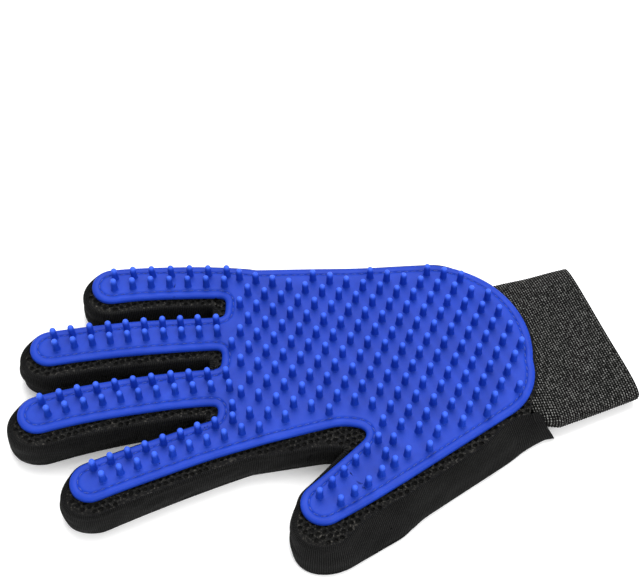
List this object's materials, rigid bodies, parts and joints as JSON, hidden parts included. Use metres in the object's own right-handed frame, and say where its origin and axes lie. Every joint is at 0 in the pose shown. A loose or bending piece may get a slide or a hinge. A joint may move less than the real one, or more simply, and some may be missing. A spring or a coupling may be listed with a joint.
{
  "type": "grooming glove",
  "caption": "Five-finger pet grooming glove with a pin-covered silicone palm pad sewn to a spacer mesh, knit sides and back, and a wide elastic cuff.",
  "frame": {"origin": "centre of the footprint, on the plane that the back of the glove lies on", "axes": "-X towards the fingertips, +X towards the cuff, -Y towards the thumb, +Z out of the palm along the pins"},
  "size_m": [0.248, 0.1319, 0.0215],
  "materials": {
    "silicone_pad": "satin moulded silicone",
    "stitching_thread": "twisted polyester thread",
    "spacer_mesh": "black knitted spacer mesh",
    "knit_fabric": "black fine-rib knit",
    "woven_elastic": "black woven elastic webbing"
  },
  "bodies": {
    "palm": {"palm_pad": "silicone_pad", "palm_stitching": "stitching_thread", "palm_mesh": "spacer_mesh", "back_panel": "knit_fabric", "gusset_little_side": "knit_fabric", "gusset_thumb_side": "knit_fabric", "gusset_index_side": "knit_fabric", "gusset_finger_crotches": "knit_fabric", "cuff_elastic": "woven_elastic"},
    "little_base": {"little_base_pad": "silicone_pad", "little_base_stitching": "stitching_thread", "little_base_mesh": "spacer_mesh", "little_base_gusset": "knit_fabric", "little_base_back": "knit_fabric"},
    "little_tip": {"little_tip_pad": "silicone_pad", "little_tip_stitching": "stitching_thread", "little_tip_mesh": "spacer_mesh", "little_tip_gusset": "knit_fabric", "little_tip_back": "knit_fabric"},
    "ring_base": {"ring_base_pad": "silicone_pad", "ring_base_stitching": "stitching_thread", "ring_base_mesh": "spacer_mesh", "ring_base_gusset": "knit_fabric", "ring_base_back": "knit_fabric"},
    "ring_tip": {"ring_tip_pad": "silicone_pad", "ring_tip_stitching": "stitching_thread", "ring_tip_mesh": "spacer_mesh", "ring_tip_gusset": "knit_fabric", "ring_tip_back": "knit_fabric"},
    "middle_base": {"middle_base_pad": "silicone_pad", "middle_base_stitching": "stitching_thread", "middle_base_mesh": "spacer_mesh", "middle_base_gusset": "knit_fabric", "middle_base_back": "knit_fabric"},
    "middle_tip": {"middle_tip_pad": "silicone_pad", "middle_tip_stitching": "stitching_thread", "middle_tip_mesh": "spacer_mesh", "middle_tip_gusset": "knit_fabric", "middle_tip_back": "knit_fabric"},
    "index_base": {"index_base_pad": "silicone_pad", "index_base_stitching": "stitching_thread", "index_base_mesh": "spacer_mesh", "index_base_gusset": "knit_fabric", "index_base_back": "knit_fabric"},
    "index_tip": {"index_tip_pad": "silicone_pad", "index_tip_stitching": "stitching_thread", "index_tip_mesh": "spacer_mesh", "index_tip_gusset": "knit_fabric", "index_tip_back": "knit_fabric"},
    "thumb_tip": {"thumb_tip_pad": "silicone_pad", "thumb_tip_stitching": "stitching_thread", "thumb_tip_mesh": "spacer_mesh", "thumb_tip_gusset": "knit_fabric", "thumb_tip_back": "knit_fabric"}
  },
  "joints": [
    {"name": "little_knuckle", "type": "hinge", "parent": "palm", "child": "little_base", "pos_m": [-0.04563, 0.05214, 0.015], "axis": [0.0422, 0.9991, 0], "range_deg": [0, 45], "stiffness_Nm_per_rad": 0.02},
    {"name": "little_middle_joint", "type": "hinge", "parent": "little_base", "child": "little_tip", "pos_m": [-0.06842, 0.05198, 0.015], "axis": [-0.057, 0.9984, 0], "range_deg": [0, 45], "stiffness_Nm_per_rad": 0.02},
    {"name": "ring_knuckle", "type": "hinge", "parent": "palm", "child": "ring_base", "pos_m": [-0.04781, 0.02648, 0.015], "axis": [-0.0282, 0.9996, 0], "range_deg": [0, 45], "stiffness_Nm_per_rad": 0.02},
    {"name": "ring_middle_joint", "type": "hinge", "parent": "ring_base", "child": "ring_tip", "pos_m": [-0.08346, 0.02388, 0.015], "axis": [-0.1172, 0.9931, 0], "range_deg": [0, 45], "stiffness_Nm_per_rad": 0.02},
    {"name": "middle_knuckle", "type": "hinge", "parent": "palm", "child": "middle_base", "pos_m": [-0.04942, 0.00114, 0.015], "axis": [-0.0743, 0.9972, 0], "range_deg": [0, 45], "stiffness_Nm_per_rad": 0.02},
    {"name": "middle_middle_joint", "type": "hinge", "parent": "middle_base", "child": "middle_tip", "pos_m": [-0.08455, -0.00374, 0.015], "axis": [-0.2007, 0.9797, 0], "range_deg": [0, 45], "stiffness_Nm_per_rad": 0.02},
    {"name": "index_knuckle", "type": "hinge", "parent": "palm", "child": "index_base", "pos_m": [-0.05011, -0.02386, 0.015], "axis": [-0.3503, 0.9367, 0], "range_deg": [0, 45], "stiffness_Nm_per_rad": 0.02},
    {"name": "index_middle_joint", "type": "hinge", "parent": "index_base", "child": "index_tip", "pos_m": [-0.06925, -0.03135, 0.015], "axis": [-0.3786, 0.9256, 0], "range_deg": [0, 45], "stiffness_Nm_per_rad": 0.02},
    {"name": "thumb_joint", "type": "hinge", "parent": "palm", "child": "thumb_tip", "pos_m": [0.01063, -0.03895, 0.015], "axis": [-0.6142, 0.7891, 0], "range_deg": [0, 40], "stiffness_Nm_per_rad": 0.02}
  ]
}
